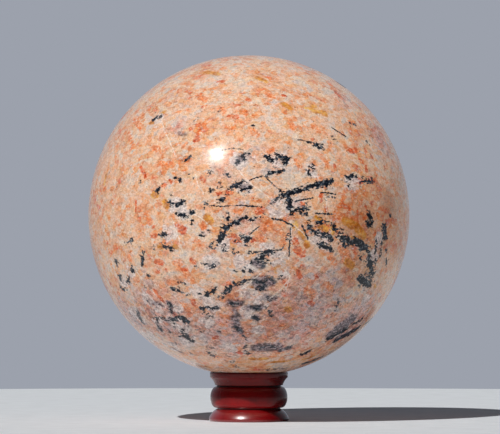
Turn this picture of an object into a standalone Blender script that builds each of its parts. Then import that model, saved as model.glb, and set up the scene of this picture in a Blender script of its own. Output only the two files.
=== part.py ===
"""A polished iolite sunstone ball on its turned wooden stand.

The stone is one solid ball. It rests in the shallow dish of a small stand that
is turned from one piece of wood in three tiers, a foot, a bead and a flared
rim, with a narrow groove between each two. Metres, +Z up. The origin is the
middle of the flat base that the stand rests on.
"""

import math

import bmesh
import bpy

# The ball
STONE_RADIUS = 0.115
STONE_SEGMENTS = 64
STONE_RINGS = 32

# The stand's seat
SEAT_GAP = 0.0003
SEAT_RADIUS = 0.0272
STAND_HEIGHT = 0.0349

# The flared rim: an upright lip above a slope that runs in to the upper groove
RIM_RADIUS = 0.0279
RIM_ROUNDING = 0.0004
LIP_BOTTOM = 0.0315
FLARE_FOOT_RADIUS = 0.0243
FLARE_FOOT = 0.0258
FLARE_BOW = 0.0005

# The bead: half an ellipse about a circle of BEAD_CENTRE_RADIUS
BEAD_CENTRE_RADIUS = 0.0234
BEAD_MIDDLE = 0.0172
BEAD_REACH = 0.0042
BEAD_HALF_HEIGHT = 0.00755

# The two grooves, cut in below the bead's own ends
UPPER_GROOVE_RADIUS = 0.0229
LOWER_GROOVE_RADIUS = 0.0223
GROOVE_WALL = 0.0003

# The foot: a bowed slope above a rounded edge
SLOPE_TOP_RADIUS = 0.0232
SLOPE_TOP = 0.0088
SLOPE_BOW = 0.0008
FOOT_RADIUS = 0.0286
FOOT_WIDEST = 0.0016
FOOT_ROUNDING = 0.0008
FOOT_ROUND_START = 18

STAND_STEPS = 48

STONE_COLOUR = (0.72, 0.46, 0.30, 1.0)
STONE_ROUGHNESS = 0.12
LACQUER_COLOUR = (0.20, 0.025, 0.02, 1.0)
LACQUER_ROUGHNESS = 0.25


def stone_centre_height():
    """The height at which a ball of the seat's radius meets the rim's inner edge."""
    dish_radius = STONE_RADIUS + SEAT_GAP
    return STAND_HEIGHT + math.sqrt(dish_radius**2 - SEAT_RADIUS**2)


def arc(centre, reach, start, end, steps):
    """(r, z) points on an ellipse about centre, from one angle to another in degrees from +r towards +z."""
    angles = [math.radians(start + (end - start) * step / steps) for step in range(steps + 1)]
    return [(centre[0] + reach[0] * math.cos(a), centre[1] + reach[1] * math.sin(a)) for a in angles]


def bowed(start, end, rise, steps):
    """(r, z) points from start to end on a parabola that stands out by rise halfway."""
    run = (end[0] - start[0], end[1] - start[1])
    length = math.hypot(*run)
    out = (-run[1] / length, run[0] / length)
    points = []
    for step in range(steps + 1):
        t = step / steps
        swell = 4 * rise * t * (1 - t)
        points.append((start[0] + run[0] * t + out[0] * swell, start[1] + run[1] * t + out[1] * swell))
    return points


def dish_profile():
    """From the axis out to the rim's inner edge, along the ball's own curve."""
    dish_radius = STONE_RADIUS + SEAT_GAP
    edge_angle = math.degrees(math.asin(SEAT_RADIUS / dish_radius))
    points = arc((0.0, stone_centre_height()), (dish_radius, dish_radius), -90, -90 + edge_angle, 4)
    points[0] = (0.0, points[0][1])
    return points


def rim_profile():
    """Over the lip's rounded edge, down its upright side and in along the flare."""
    rounding_centre = (RIM_RADIUS - RIM_ROUNDING, STAND_HEIGHT - RIM_ROUNDING)
    edge = arc(rounding_centre, (RIM_ROUNDING, RIM_ROUNDING), 90, 0, 2)
    flare = bowed((RIM_RADIUS, LIP_BOTTOM), (FLARE_FOOT_RADIUS, FLARE_FOOT), -FLARE_BOW, 4)
    return edge + flare


def bead_profile():
    """The upper groove's floor, the bead and the lower groove's floor."""
    bead_top = BEAD_MIDDLE + BEAD_HALF_HEIGHT
    bead_bottom = BEAD_MIDDLE - BEAD_HALF_HEIGHT
    upper_floor = [
        (UPPER_GROOVE_RADIUS, FLARE_FOOT - GROOVE_WALL),
        (UPPER_GROOVE_RADIUS, bead_top + GROOVE_WALL),
    ]
    bead = arc((BEAD_CENTRE_RADIUS, BEAD_MIDDLE), (BEAD_REACH, BEAD_HALF_HEIGHT), 90, -90, 10)
    lower_floor = [
        (LOWER_GROOVE_RADIUS, bead_bottom - GROOVE_WALL),
        (LOWER_GROOVE_RADIUS, SLOPE_TOP + GROOVE_WALL),
    ]
    return upper_floor + bead + lower_floor


def foot_profile():
    """Down the foot's slope, round its edge and back to the axis under the flat base."""
    edge_centre = (FOOT_RADIUS - FOOT_ROUNDING, FOOT_WIDEST)
    edge = arc(edge_centre, (FOOT_ROUNDING, FOOT_WIDEST), FOOT_ROUND_START, -90, 4)
    slope = bowed((SLOPE_TOP_RADIUS, SLOPE_TOP), edge[0], SLOPE_BOW, 6)
    return slope[:-1] + edge + [(0.0, 0.0)]


def paint(piece, name, colour, roughness):
    """Gives the piece its own Principled BSDF."""
    material = bpy.data.materials.new(name)
    material.use_nodes = True
    shader = material.node_tree.nodes["Principled BSDF"]
    shader.inputs["Base Color"].default_value = colour
    shader.inputs["Roughness"].default_value = roughness
    shader.inputs["Metallic"].default_value = 0.0
    piece.data.materials.append(material)


def make_stone(collection):
    """The ball, in one piece."""
    mesh = bpy.data.meshes.new("sunstone_ball")
    ball = bmesh.new()
    bmesh.ops.create_uvsphere(
        ball, u_segments=STONE_SEGMENTS, v_segments=STONE_RINGS, radius=STONE_RADIUS
    )
    ball.to_mesh(mesh)
    ball.free()
    mesh.shade_smooth()
    stone = bpy.data.objects.new("sunstone_ball", mesh)
    stone.location.z = stone_centre_height()
    collection.objects.link(stone)
    paint(stone, "polished_sunstone", STONE_COLOUR, STONE_ROUGHNESS)
    return stone


def make_stand(collection):
    """The stand, its half profile turned once round the axis."""
    profile = dish_profile() + rim_profile() + bead_profile() + foot_profile()
    vertices = [(r, 0.0, z) for r, z in profile]
    edges = [(i, i + 1) for i in range(len(vertices) - 1)]
    mesh = bpy.data.meshes.new("wooden_stand")
    mesh.from_pydata(vertices, edges, [])
    stand = bpy.data.objects.new("wooden_stand", mesh)
    collection.objects.link(stand)
    turn = stand.modifiers.new("turn", "SCREW")
    turn.axis = "Z"
    turn.angle = math.tau
    turn.steps = STAND_STEPS
    turn.render_steps = STAND_STEPS
    turn.use_merge_vertices = True
    turn.merge_threshold = 0.0001
    turn.use_smooth_shade = True
    paint(stand, "red_lacquered_wood", LACQUER_COLOUR, LACQUER_ROUGHNESS)
    return stand


def main():
    for old in list(bpy.data.objects):
        bpy.data.objects.remove(old, do_unlink=True)
    collection = bpy.data.collections.new("iolite_sunstone")
    bpy.context.scene.collection.children.link(collection)
    make_stone(collection)
    make_stand(collection)


main()
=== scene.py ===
"""Looks for a polished iolite sunstone ball on its turned, red-lacquered stand.

The ball is one stone: a warm feldspar ground of close grains, with blue-black crystal
streaks, soft violet-grey patches, red and yellow crystals and pale healed cracks. The
marks of its near side are read as picture points and are laid on the ball along
the camera's lines of sight. Seeded marks of the same kinds cover the rest of it.
"""

import math
from collections import namedtuple

import bpy
import numpy as np
from bpy.props import FloatProperty, FloatVectorProperty, IntProperty, PointerProperty
from mathutils import Euler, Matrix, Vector


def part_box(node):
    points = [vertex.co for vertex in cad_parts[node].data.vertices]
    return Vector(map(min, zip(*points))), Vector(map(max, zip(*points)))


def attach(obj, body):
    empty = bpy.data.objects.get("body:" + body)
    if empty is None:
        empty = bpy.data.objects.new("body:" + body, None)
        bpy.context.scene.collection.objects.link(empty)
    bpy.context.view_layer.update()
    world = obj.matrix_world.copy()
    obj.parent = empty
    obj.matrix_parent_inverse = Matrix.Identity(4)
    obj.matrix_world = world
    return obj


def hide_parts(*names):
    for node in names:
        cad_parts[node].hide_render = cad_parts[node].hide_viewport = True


bl_info = {
    "name": "Iolite Sunstone Ball",
    "version": (1, 0, 0),
    "blender": (4, 5, 0),
    "location": "3D View > Sidebar > Sunstone",
    "description": "Makes a polished iolite sunstone ball, its turned stand and a plain studio",
    "category": "Add Mesh",
}

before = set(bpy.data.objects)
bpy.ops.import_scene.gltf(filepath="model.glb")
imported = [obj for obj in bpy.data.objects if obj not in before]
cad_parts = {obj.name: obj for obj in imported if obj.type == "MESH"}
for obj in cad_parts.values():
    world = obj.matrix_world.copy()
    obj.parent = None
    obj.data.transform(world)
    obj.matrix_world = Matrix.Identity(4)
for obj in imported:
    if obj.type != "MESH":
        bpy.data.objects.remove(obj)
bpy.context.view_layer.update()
BALL_LOW, BALL_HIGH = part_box("sunstone_ball")
BALL_CENTRE = (BALL_LOW + BALL_HIGH) / 2
BALL_RADIUS = (BALL_HIGH.x - BALL_LOW.x) / 2
STAND_LOW, STAND_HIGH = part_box("wooden_stand")
MM = 0.001

# The picture's frame, and the ball's outline in it, in picture points
PICTURE_WIDTH = 500
PICTURE_HEIGHT = 434
OUTLINE_X = 248.9
OUTLINE_Y = 215.85
OUTLINE_RADIUS = 160.6
POINT = BALL_RADIUS / OUTLINE_RADIUS

SENSOR = 36.0
CAMERA_DISTANCE = 2.4
CAMERA_HEIGHT = 0.088

# The ball's grids: the share of a bake square left free round each, and how near on the
# unit ball two corners are when they are one
BAKE_MARGIN = 0.012
MERGE_REACH = 1e-5

# How soft a pale clearing's edge is
CLEARING_SOFTNESS = 2.2 * MM

# The far side: it begins where a direction's share towards the camera falls to the horizon.
# Its strokes run level about an axis, and each cluster leans by a mean and a spread in radians
HORIZON = 0.06
LEVEL_AXIS = (0.1, 0.05, 1.0)
LEAN = (0.35, 0.3)
CLUSTER_FLATNESS = 0.6

# Where the far side's own ground comes in, and how steeply
HIDDEN_START = 0.12
HIDDEN_EASE = 12

# Small shapes of the stand; the foot's edge begins at an angle above level, in degrees, and
# the dish's middle lies a little below its first ring
RIM_ROUNDING = 0.4 * MM
GROOVE_WALL = 0.3 * MM
FLARE_BOW = 0.5 * MM
SLOPE_BOW = 0.8 * MM
FOOT_ROUND_START = 18
DISH_DIP = 0.02 * MM

# A turned edge counts as fully worn, or a groove as fully dark with painted shade, at this depth
WORN_DEPTH = 0.35 * MM

# Painted shade of the ball on the stand: it darkens from BALL_SHADE_START below the bead's middle up to
# BALL_SHADE_RISE higher, and again, as the ball's painted shadow, within RIM_SHADE of its top
BALL_SHADE_START = 5 * MM
BALL_SHADE_RISE = 4 * MM
RIM_SHADE = 1.6 * MM

# Where the lights stand, from the ball's centre
KEY_PLACE = Vector((-1.050, -1.965, 2.007))
SIDE_FILL_PLACE = Vector((1.55, -0.2, 1.5))
REAR_FILL_PLACE = Vector((1.0, 2.4, 0.8))
FILL_WIDTH = 1.4

# Marks on the near side, in picture points: a stroke has two ends and a width, a spot has
# one place, and a zone's colour eases away from its place by its strength
Stroke = namedtuple("Stroke", "x0 y0 x1 y1 width")
Spot = namedtuple("Spot", "x y width")
Zone = namedtuple("Zone", "x y width strength")


def marks(kind, *rows):
    """The rows as marks of one kind, which names their values."""
    return [kind(*row) for row in rows]


# Blue-black crystal streaks
STREAKS = marks(
    Stroke,
    (283.3, 195.3, 300, 190.2, 6.2), (300, 190.2, 316, 185, 4.6), (316, 185, 331.8, 181.6, 5),
    (288.2, 197.5, 290.4, 207, 6), (290.4, 207, 291.6, 216, 3.6), (271.2, 202.8, 283.3, 196.3, 3),
    (295.4, 209.9, 307.6, 207.8, 3), (301, 212.5, 305.5, 214.6, 3.4),
    (267.6, 174.5, 283.3, 169.7, 3), (228.1, 189.2, 241.9, 182.6, 4.2),
    (239.6, 190.6, 250, 188.8, 2.6), (217.8, 200.9, 224.1, 197.3, 2.8), (207.4, 205, 212, 206, 2.6),
    (219, 183.4, 220.4, 186.4, 2.6), (209.4, 190.6, 211.4, 190.2, 2.2),
    (227.6, 174.4, 228.8, 175.6, 2.4), (209.4, 171.6, 210.4, 172.6, 2.2),
    (237, 161.7, 240, 160.4, 3.2), (243.4, 156.4, 248.4, 154.4, 2.6),
    (241.6, 160.8, 243.4, 160.4, 2.2), (265.1, 155.1, 271.8, 161.2, 3.6),
    (277.3, 156.3, 288.2, 157.5, 4.6), (285.7, 159, 286, 163.4, 3.6),
    (312.2, 165.6, 313.8, 167.6, 3.6), (308.8, 173, 310.2, 175, 3.2), (309, 142.2, 315, 144.4, 2.8),
    (315, 144.4, 322.9, 147.4, 4.2), (351.6, 123.8, 355.6, 124.8, 3),
    (346.4, 178, 354.6, 176.4, 3.4), (360.9, 181.8, 371.8, 180.6, 3.6),
    (348, 185.6, 349.8, 185.2, 2.4), (326.8, 198, 327.4, 198.4, 2), (333.3, 197.3, 333.9, 197.7, 2),
    (153.4, 119.4, 157, 116.6, 3.4), (159.6, 117.4, 161.6, 114.4, 3), (194.2, 122, 196, 119.6, 2.2),
    (183.3, 160, 189.6, 157.1, 2.6), (175.3, 177.8, 179.9, 180, 1.9), (158, 190.6, 159.6, 188, 3.8),
    (170.7, 200.7, 171.5, 206, 3.2), (177.5, 205.5, 182.5, 202.5, 4.4),
    (178.5, 213.5, 184.5, 216.5, 4.2), (190.5, 213.5, 194.5, 210.5, 3),
    (191.9, 220.8, 191.9, 223, 3), (224.8, 227.6, 232.7, 223.3, 4.8),
    (232.7, 223.3, 240, 219.4, 4.2), (239.7, 219.6, 246.2, 217, 3.4),
    (246.5, 220.9, 260, 217.2, 2.6), (227.8, 217.8, 229.8, 219.2, 3),
    (219.6, 241.8, 222.8, 235.2, 6.4), (210, 245.5, 212.8, 248.9, 2.8),
    (224.2, 246.6, 226.2, 248.8, 4.6), (233, 250.8, 234.6, 253.2, 2.8),
    (240.6, 234.8, 244, 236.6, 3.2), (246, 236, 248.4, 239.4, 4.6),
    (246.4, 239.6, 246.6, 243.6, 3.2), (236, 241.4, 241, 239.4, 2), (201.7, 234.2, 204.6, 236.7, 2),
    (162, 233.4, 163.2, 235.4, 3), (163.2, 244.8, 171.8, 249.9, 3), (131.7, 267.7, 131.8, 271, 3.8),
    (119.6, 277, 120.8, 279.4, 5.4), (129.4, 278.1, 127.6, 282.9, 2.8),
    (120.8, 287.2, 122.2, 288.6, 3.4), (123.6, 289.8, 125, 289, 2.2),
    (206.3, 263.3, 209.9, 265.1, 2.4), (211.8, 266.6, 214.4, 264, 3.6),
    (182.6, 283, 184.4, 283.6, 3.8), (223.5, 293.8, 229.2, 288.6, 4.4),
    (229.2, 288.6, 238, 283.4, 3.4), (236.6, 284.6, 247.6, 280.2, 2.6),
    (245.3, 269.6, 252.2, 271.9, 2.8), (201.7, 308.2, 215.5, 307.8, 4),
    (171.8, 319.8, 179.9, 316.4, 5.2), (179.9, 316.4, 187.2, 322.2, 5.4),
    (160.8, 317.6, 164.8, 318.8, 3.6), (156.5, 317.8, 158.1, 321.7, 2.8),
    (156.9, 324, 161.5, 330.9, 2.8), (137.4, 311.9, 142.6, 322.8, 2.8),
    (179.9, 336.4, 185.6, 335.7, 2.6), (185.6, 335.7, 191.4, 342.6, 3.6),
    (167.6, 330, 169.6, 332, 2.6), (182.6, 329.4, 185.2, 331.6, 2.2),
    (207.4, 352.7, 213.7, 356.1, 3.6), (244.2, 346.9, 248.9, 353.3, 2.8),
    (228.4, 361.6, 230.2, 362.2, 2.4), (309, 225, 311.2, 226.2, 4.2),
    (317.4, 221.8, 325.5, 223.2, 2.8), (308.8, 229, 316, 231.8, 3.6), (316, 231.8, 331, 238, 5.2),
    (323, 234.4, 326, 235.8, 6), (332.6, 227, 338.4, 233.4, 5.4), (320.6, 244.4, 329.8, 248.9, 5.4),
    (342, 238, 348, 241, 8), (343, 245, 345, 247, 4.6), (355, 241.6, 364, 247, 9),
    (364.5, 245.6, 368.4, 251.4, 3.8), (359, 255, 360.6, 256.6, 3.6), (369, 215, 371.6, 221, 5),
    (368.2, 222.6, 370.4, 224.8, 5.6), (383.6, 226, 385, 237, 6.8),
    (376.8, 238.8, 375.4, 250.9, 2.6), (381.5, 243.6, 380.3, 255.7, 3), (386, 250, 386.6, 252, 2.6),
    (368.6, 257.6, 371.6, 272, 7), (375.4, 259.8, 375.4, 263.6, 3.2), (365.7, 272.9, 370.6, 278, 3),
    (370.6, 278, 374.4, 271.5, 2.8), (386, 261, 386.6, 263, 2.6), (360, 278.6, 369.6, 284.4, 8),
    (281.6, 276.4, 282.8, 277.4, 2.8), (268.2, 307.8, 271.8, 315.1, 2.8),
    (265.2, 253.6, 271.6, 252.8, 5), (288.8, 235.8, 290, 236.8, 2.8), (256.2, 258.4, 257, 259, 2.2),
    (259, 262, 260.2, 262.6, 2.4), (262.6, 259.6, 263.4, 260.6, 2), (328.5, 338.6, 347, 328.6, 6.5),
    (335, 341, 352, 331.4, 6), (346, 336, 358, 328, 6.5), (354.6, 323.4, 361.4, 320, 4),
    (302.7, 354.5, 311.2, 350.3, 5), (303.9, 363.6, 319.1, 358.1, 7),
    (261.5, 369.8, 287, 367.9, 2.6), (337.2, 299.8, 336.6, 307.4, 2.8),
    (279.7, 350.6, 289.4, 347.8, 3.6), (168.4, 303.6, 171.4, 306.2, 2.8),
    (169.6, 309, 171.6, 312, 3.2), (202.6, 313.6, 209, 315.2, 2.2), (181, 331.6, 186.4, 335, 2.6),
    (188.6, 337, 193, 341.6, 3.2), (196, 328.6, 201.4, 330.2, 1.6), (209, 346.4, 213, 347.6, 1.8),
    (225.4, 356, 229.8, 357, 1.8), (232, 364.8, 236.4, 367.2, 1.8), (236, 327.4, 240.4, 331, 3.4),
    (250.6, 306.4, 258, 308.6, 3.8), (254, 317.6, 258, 319.4, 3.4), (255.6, 281, 262, 284, 3.8),
    (258, 287.6, 264, 289, 3.8), (266, 280.6, 272, 279, 2.8), (267, 298, 271, 299, 2.4),
    (258, 348, 268, 346.6, 2.4), (270, 346.6, 277, 347.6, 2), (258.6, 259, 263, 256, 4),
    (263, 264.4, 267, 262, 2.4), (230.4, 303, 238, 303.8, 2.2), (147, 300, 149, 303, 1.8),
    (176, 343, 179, 345, 1.8), (217, 331, 220, 332, 1.8), (190, 353, 195, 355.6, 1.6),
    (219, 297, 222, 298, 2), (243, 336, 246, 339, 2), (206.3, 295.3, 216.6, 288.4, 3.2),
    (172.4, 288.4, 181.6, 291.8, 3.4), (115, 258.5, 117.3, 265.4, 2.8),
    (142.8, 250.5, 142, 263.7, 2.8), (127.6, 243.6, 131.1, 240.2, 2.8),
)

# Hair-thin black crystals
NEEDLES = marks(
    Stroke,
    (222.4, 150.2, 232.7, 147.9, 1), (232.7, 147.9, 241.9, 149.6, 1.1),
    (251.1, 179.5, 262, 176.2, 1.5), (265.1, 176.9, 282.1, 192.7, 1.2),
    (333, 128.5, 344.5, 135.7, 1.7), (299.1, 140, 309, 142, 1.4), (217.8, 206.5, 228.1, 205.9, 1.4),
    (228.1, 205.9, 237.3, 205.3, 1), (237.3, 205.3, 260, 207, 1.4),
    (296.6, 201.2, 311.2, 198.1, 1.7), (322.1, 192.7, 334.2, 193.9, 1.8),
    (317.2, 213.3, 331.8, 213.9, 1.6), (273.6, 218.8, 282.1, 220.6, 2),
    (282.1, 220.6, 291.8, 224.8, 1.7), (302.7, 226.7, 307.6, 237.4, 2),
    (290.6, 230.3, 290.6, 235.1, 1.4), (289.4, 242.4, 289.4, 254.5, 1.6),
    (251.1, 233.3, 257.9, 227.6, 1.4), (255.4, 252.1, 282.1, 249.7, 1.6),
    (282.1, 249.7, 283.6, 246.5, 1.3),
)

# Single black specks

SPECKS = marks(
    Spot,
    (253.3, 126.2, 1.9), (219.3, 108.5, 2), (139.5, 182.1, 2), (190.2, 177.2, 1.7),
    (214.3, 141, 2.2), (287.6, 147.2, 1.9), (332.4, 136.9, 1.7), (334, 144, 1.6),
    (366.9, 141.8, 2.3), (208.6, 230.4, 2), (153, 249, 1.7), (196.5, 266.4, 1.7),
    (200.5, 295.3, 1.7), (186.8, 294.7, 2), (236, 270.3, 2), (249.9, 252.8, 2), (251, 263.1, 1.9),
    (202.8, 313.7, 1.9), (206.3, 317.1, 1.7), (174.7, 327.4, 1.9), (145.4, 288.4, 1.9),
    (148.9, 275.8, 2.3), (390.6, 215.7, 1.9),
)

# Soft violet-grey patches under the polish
SMOKE = marks(
    Stroke,
    (229, 303, 241, 303.6, 7), (234.8, 310, 237.6, 316, 5.5), (233.8, 318, 240.7, 332, 8),
    (249.3, 307.8, 260.3, 307.8, 8), (255.6, 318.4, 257.4, 319, 5.5), (257, 281, 262, 286, 12),
    (264, 279, 272, 283, 8), (266.6, 297, 275, 298.6, 6.5), (331, 334, 344, 328, 13),
    (340, 327, 351, 320, 17), (337, 338.5, 353, 330.5, 9), (257, 347.6, 277, 347, 14),
    (280.5, 350.2, 288.4, 348.2, 8), (154, 302.6, 161.5, 304.8, 4.5),
    (169.8, 303.6, 171.6, 311.6, 5.5), (174.1, 348.9, 181, 352.1, 4), (236.5, 163, 242, 157, 6),
    (240, 186, 248, 187, 4.5), (180, 134, 186, 134, 4), (345, 238, 350, 241, 6),
    (137.8, 311, 142.8, 323, 4), (157.2, 323, 161.6, 330, 4), (254, 262, 262, 266, 6),
    (197, 363.8, 208, 367, 2.2), (346, 322, 353, 318, 6), (148, 338, 152, 343, 2.6),
)

# Pale clearings of grey-white feldspar
CLEARINGS = marks(
    Spot,
    (278.5, 208.5, 17), (240, 159, 14), (244, 187, 12), (175.5, 205, 12), (182, 214, 9),
    (158, 118.6, 9), (352, 182, 13), (311.5, 171, 10), (281, 160, 13), (317.2, 237.6, 13),
    (325, 243, 10), (278.5, 259.4, 13), (248.5, 291, 13), (131, 272, 8), (123, 282, 9),
    (169.5, 232.1, 14), (222, 244, 13), (243, 262, 14), (258, 264, 13), (210, 262, 12),
    (205, 300, 10), (158, 308, 10), (178, 308, 9), (180, 326, 18), (158, 322, 11), (186, 342, 13),
    (142, 320, 9), (248, 312, 12), (340, 331, 16), (373, 258, 13), (379, 240, 11), (296, 204, 9),
    (267, 247, 9), (148, 300, 12), (152, 336, 14), (170, 346, 16), (200, 340, 14), (206, 322, 13),
    (230, 346, 12), (262, 303, 12), (259, 330, 10), (283, 270, 10), (366, 300, 10), (190, 362, 12),
    (214, 306, 10), (196, 292, 9), (134, 312, 16), (146, 336, 16), (163, 355, 15),
)

# Light orange crystals
GLOWS = marks(
    Stroke,
    (153.5, 148.5, 158, 148.5, 8), (175.5, 114, 179.5, 111.4, 4.5), (227, 127.6, 233.6, 128, 5.6),
    (237.6, 139.6, 240.8, 140.2, 5.4), (254, 130.4, 255, 133.2, 4.6),
    (182.6, 146.2, 186.4, 143, 4.2), (235, 211, 240, 210.6, 6), (201.6, 224, 204, 227.6, 6.4),
    (129, 256.4, 130.2, 259, 7), (175.6, 263, 179.8, 263.2, 8), (258.6, 236.4, 262.6, 239.2, 8.4),
    (273.6, 226.6, 277.6, 229.4, 8), (266, 226, 269, 228, 7), (281.4, 240.4, 283.6, 242.2, 5),
    (345, 259, 351.6, 264, 9), (221.6, 324.4, 225.6, 325.8, 5.4), (281.6, 325, 282.6, 327.4, 5),
    (262, 218, 268, 222, 7), (280, 232, 284, 236, 6), (200, 98, 206, 100, 6),
    (219, 108, 224, 112, 7), (267, 93, 272, 97, 7), (252, 130, 256, 134, 7),
    (135, 118, 141, 128, 7), (128, 134, 132, 142, 5), (160, 163, 166, 166, 7),
    (146, 215, 150, 222, 8), (196, 240, 202, 246, 7), (186, 272, 190, 280, 8),
    (170, 283, 176, 282, 6), (183, 305, 188, 309, 7), (230, 318, 222, 316, 6),
    (236, 344, 240, 350, 6), (318, 178, 324, 186, 7), (324, 160, 328, 166, 6),
    (336, 214, 343, 218, 8), (350, 220, 356, 224, 8), (341, 248, 347, 254, 9),
    (330, 256, 334, 262, 7), (307, 290, 313, 296, 8), (326, 284, 331, 290, 7),
    (268, 152, 272, 150, 6), (296, 160, 300, 166, 6), (313, 126, 318, 130, 7),
    (290, 122, 294, 128, 7),
)

# Deep orange and red crystals
EMBERS = marks(
    Stroke,
    (229.5, 116, 237, 116.8, 4.6), (202.6, 106.8, 204.8, 106.2, 3.6),
    (236.6, 105.4, 239.4, 105.4, 3.6), (247.6, 99.4, 250.2, 100.4, 4.4),
    (245.6, 112, 247.4, 112.8, 3.6), (218, 81.4, 223.6, 81.2, 4.4),
    (190.2, 128.4, 191.6, 129.8, 3.2), (196, 125.2, 198.4, 126, 4.6),
    (197.6, 134.6, 200, 130.4, 4.6), (195.4, 140, 197.8, 139.4, 4.6),
    (140.8, 167.4, 146, 177.8, 3.6), (135.8, 201.2, 135.9, 211.6, 3.4),
    (163.4, 186, 165.4, 184.4, 4.6), (169.2, 181.6, 171, 182, 3.8), (202, 178, 204, 180.4, 5),
    (226.6, 192.6, 231.8, 192.8, 4.2), (217.6, 194, 220.4, 193.6, 3.6),
    (257.4, 211, 260.6, 211.8, 7), (303.6, 204.4, 301, 204, 4.4), (320.9, 194.4, 320.9, 200.6, 4.4),
    (325.4, 207, 326.2, 210, 4.2), (349, 208, 348.6, 211.6, 3.6), (358.2, 211, 358.6, 213.6, 3.6),
    (365.6, 206.6, 366, 208, 3.4), (349.6, 150.4, 355.4, 150.4, 6.4),
    (365.4, 149.6, 366.2, 153.6, 4), (359.6, 158.6, 362.4, 161.6, 3.8),
    (366.2, 166, 366.6, 171, 3.6), (334.6, 164.8, 335, 167.4, 3), (371.4, 155.6, 372.2, 157.2, 3.4),
    (384.8, 167.4, 385.2, 169.6, 3.4), (357.6, 119.8, 359.6, 121.6, 4),
    (335.4, 92.1, 341.5, 98.2, 3.6), (282.4, 95, 284.4, 95.4, 3.6), (241.4, 64.2, 243, 64.4, 2.8),
    (178, 225.4, 183, 229.8, 8), (152.4, 235.4, 155, 236, 5.4), (156.8, 261.6, 161.6, 262.4, 6.4),
    (191.6, 260, 193.6, 261.8, 4.8), (183, 268.6, 186.4, 269.4, 4.6), (157.4, 271.4, 159, 272, 3.4),
    (165, 269.8, 166.4, 270.4, 3.6), (154, 290, 162.4, 300.6, 4.8), (192.6, 300, 193.8, 304.4, 5),
    (233, 238, 237.4, 241.6, 8.4), (251.6, 239.6, 253, 241.2, 4.4),
    (294.6, 238.6, 296.2, 243.8, 5.6), (297.4, 250, 302, 254, 8.6), (306, 244.6, 307, 245.6, 4.6),
    (302.4, 265.2, 304.4, 265.8, 5), (298.4, 272.6, 299.8, 276.4, 6.4),
    (284.6, 282.6, 286.8, 283.6, 5.6), (315.6, 276.6, 317.6, 278.6, 4.6),
    (355, 252.8, 357, 253.8, 3.6), (227, 282.8, 229.6, 282.4, 3.6), (214, 338.6, 217, 337, 5),
    (238.4, 352.4, 241.4, 353.8, 5), (326, 315.8, 328, 316.8, 3.6), (284, 295.2, 285.2, 296.2, 3.8),
    (310, 302, 312.6, 304, 6), (108, 278.4, 111, 285.4, 2.6), (114.6, 292.6, 124, 311, 1.8),
)

# Yellow and olive crystals
AMBERS = marks(
    Stroke,
    (306, 108.6, 325.4, 113.6, 4.6), (322.6, 113, 325, 113.8, 5.6), (312.6, 106.2, 315, 106.6, 3.4),
    (153.6, 195.2, 155.8, 194.8, 6.6), (150.6, 122.8, 153, 122.4, 2.4),
    (162, 113.4, 164.6, 111.6, 2.8), (295, 223.6, 296, 227.6, 5.4), (331.2, 228.6, 332.6, 231.8, 5),
    (357.4, 228.4, 363.4, 235.6, 8), (345, 221, 356, 226, 7), (352, 238, 358, 240, 5),
    (321, 226, 327, 230, 4), (300, 232, 304, 236, 4.6), (347, 262, 352, 266, 6),
    (274, 362, 290, 361, 2.6), (302, 360, 314, 356, 2.4), (164, 202, 168, 206, 5),
    (106, 176, 104, 186, 3), (206, 72, 218, 74, 5), (257, 78, 266, 82, 4), (284, 104, 290, 108, 4),
    (306.6, 242.4, 307.6, 245.4, 4.4), (277, 267.4, 277.8, 270.6, 6),
    (250.2, 287.4, 251.2, 291, 5.4), (240, 296.2, 241.6, 296.6, 3.6),
    (287.6, 308.4, 289, 309.6, 5.4), (261.6, 359, 266, 358.4, 4.6), (250.8, 358.2, 253.6, 358.8, 4),
    (316.4, 217.4, 318.6, 218.8, 4), (160, 247, 161.6, 247.4, 4.4), (174.6, 246.6, 175.8, 247.6, 4),
    (207.4, 218.6, 211, 220.6, 6), (243, 254.6, 245, 256, 4), (375, 285.8, 376, 286.4, 3.4),
)

# Pale healed cracks, as lines of picture points
CRACKS = [
    [(171.8, 219.8), (175.0, 228.0), (179.4, 240.2), (182.2, 250.5)],
    [(137.0, 272.0), (144.0, 282.0), (151.0, 290.0), (163.0, 304.0)],
    [(245.8, 180.0), (256.0, 188.0), (266.0, 195.6), (271.0, 199.0)],
    [(236.0, 166.0), (240.0, 171.0), (246.0, 178.0)],
    [(293.0, 224.2), (302.0, 232.0), (308.8, 239.4), (315.4, 244.6)],
    [(262.0, 272.4), (254.0, 279.0), (245.6, 287.0), (237.0, 291.0)],
    [(291.0, 223.0), (292.0, 240.0), (289.0, 258.0)],
    [(196.0, 214.6), (203.0, 220.0), (210.6, 227.6)],
    [(162.6, 124.0), (166.0, 134.0), (171.6, 146.0), (176.0, 156.0)],
    [(195.6, 176.0), (198.6, 186.0), (203.0, 193.0)],
    [(322.0, 186.0), (326.0, 197.0), (327.0, 212.0)],
    [(286.0, 283.0), (279.0, 291.0), (272.0, 297.0)],
    [(299.0, 259.0), (308.0, 264.4), (319.0, 267.0)],
    [(282.0, 268.0), (290.0, 276.0), (286.0, 290.0)],
]
CRACK_WIDTH = 1.2

# Where the ground turns from warm to rose and lilac
ROSE_ZONES = marks(
    Zone,
    (165, 318, 92, 0.85), (225, 334, 92, 0.75), (300, 318, 110, 0.9), (326, 288, 76, 0.65),
    (236, 300, 60, 0.5), (352, 322, 80, 0.9), (150, 290, 40, 0.6), (380, 140, 46, 0.7),
    (342, 96, 36, 0.45), (306, 66, 50, 0.5), (176, 127, 24, 0.6), (222, 172, 30, 0.5),
    (272, 162, 26, 0.5), (250, 150, 24, 0.4), (300, 232, 26, 0.3), (210, 262, 34, 0.4),
    (250, 222, 70, 0.35), (176, 100, 60, 0.2), (130, 316, 50, 0.9), (156, 350, 60, 0.95),
    (196, 368, 60, 0.7),
)
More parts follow.
